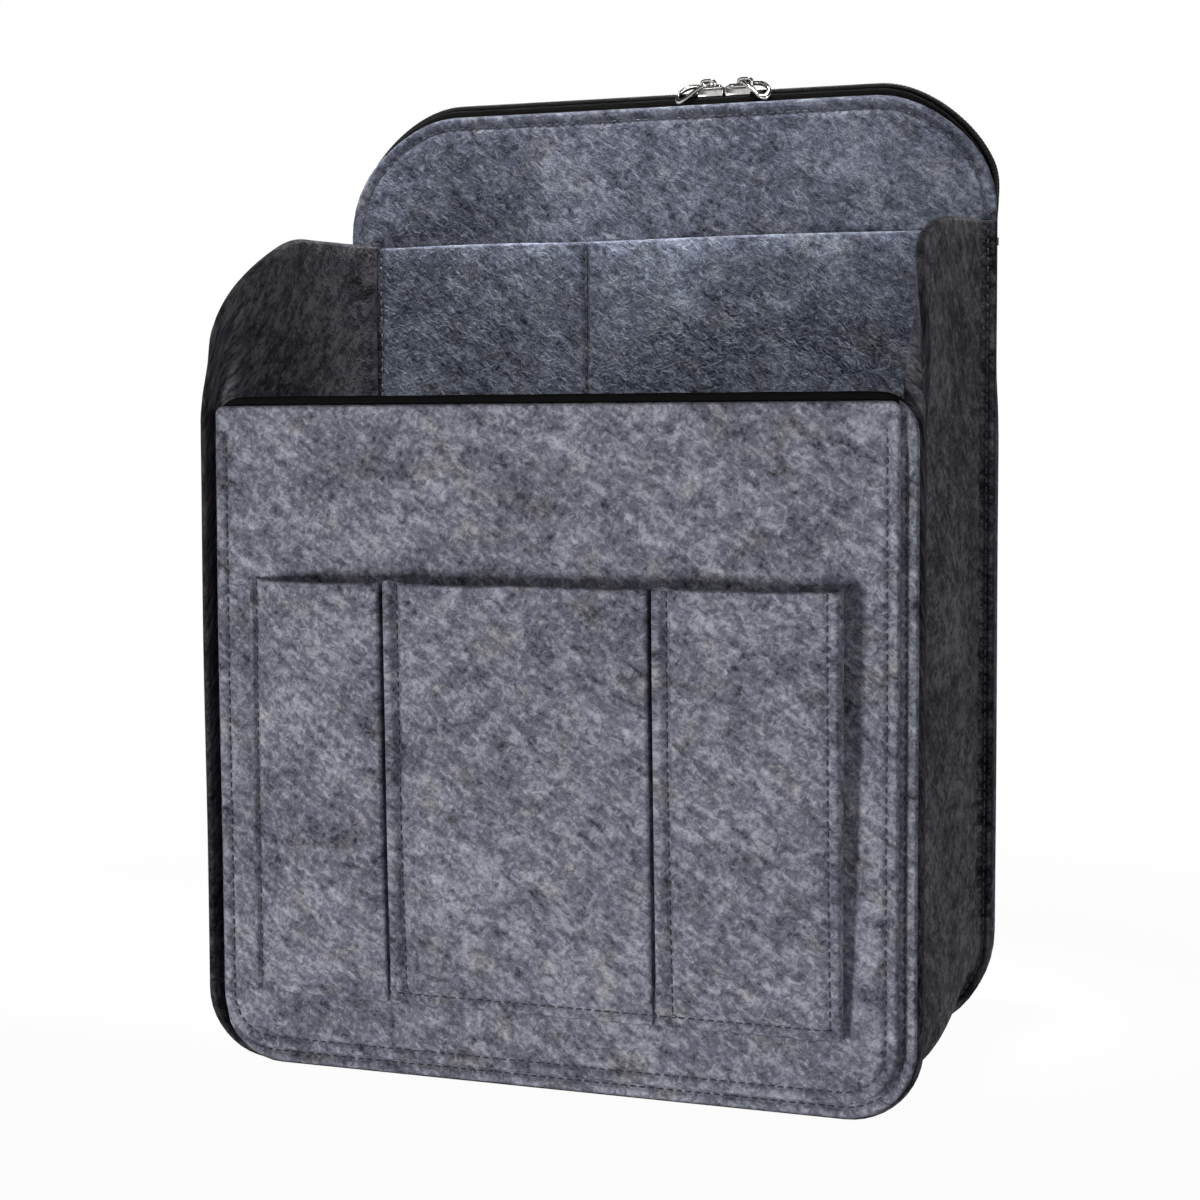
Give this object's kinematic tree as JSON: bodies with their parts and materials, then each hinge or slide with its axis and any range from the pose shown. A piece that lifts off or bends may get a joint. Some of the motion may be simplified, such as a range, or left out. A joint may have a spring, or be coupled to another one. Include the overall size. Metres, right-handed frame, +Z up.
{
  "type": "bag organizer insert",
  "caption": "Standing felt insert for a backpack: open main compartment with a slip pocket, pleated front pockets and a zipped flat compartment at the back.",
  "frame": {"origin": "middle of the footprint, on the surface that the organizer stands on", "axes": "+Z up, the pocket front faces -Y, +X to the right seen from the front"},
  "size_m": [0.2554, 0.147, 0.3487],
  "materials": {
    "felt": "mottled grey needle felt",
    "dark_felt": "mottled dark grey needle felt",
    "tape": "black woven tape",
    "nylon": "black nylon coil and stops",
    "nickel": "polished nickel plate",
    "thread": "grey sewing thread"
  },
  "bodies": {
    "organizer": {"front_panel": "felt", "front_wall": "felt", "front_pockets": "felt", "inner_pocket": "felt", "back_panel": "felt", "rear_panel": "felt", "side_gusset": "dark_felt", "front_wall_binding": "tape", "zip_tape_front": "tape", "zip_tape_rear": "tape", "zip_tab_left": "tape", "zip_tab_right": "tape", "zip_chain_front": "nylon", "zip_chain_rear": "nylon", "zip_stop_left": "nylon", "zip_stop_right": "nylon", "front_seam_thread": "thread", "rim_seam_thread": "thread", "back_seam_thread": "thread", "zip_seam_thread_front": "thread", "zip_seam_thread_rear": "thread", "pocket_foot_thread": "thread", "pocket_hem_thread": "thread", "pocket_fold_thread_middle": "thread", "pocket_fold_thread_right": "thread", "pocket_fold_thread_end": "thread", "inner_pocket_thread_left": "thread", "inner_pocket_thread_middle": "thread", "inner_pocket_thread_right": "thread"},
    "slider_left": {"slider_left": "nickel"},
    "slider_right": {"slider_right": "nickel"},
    "pull_left": {"pull_left": "nickel"},
    "pull_right": {"pull_right": "nickel"}
  },
  "joints": [
    {"name": "slider_left_slide", "type": "slide", "parent": "organizer", "child": "slider_left", "axis": [-1, 0, 0], "range_m": [0, 0.088]},
    {"name": "slider_right_slide", "type": "slide", "parent": "organizer", "child": "slider_right", "axis": [1, 0, 0], "range_m": [0, 0.046]},
    {"name": "pull_left_swing", "type": "hinge", "parent": "slider_left", "child": "pull_left", "pos_m": [0.01625, 0.06415, 0.3466], "axis": [-0.5, 0.866, 0], "range_deg": [0, 110]},
    {"name": "pull_right_swing", "type": "hinge", "parent": "slider_right", "child": "pull_right", "pos_m": [0.03175, 0.06415, 0.3466], "axis": [-0.5, -0.866, 0], "range_deg": [0, 110]}
  ]
}
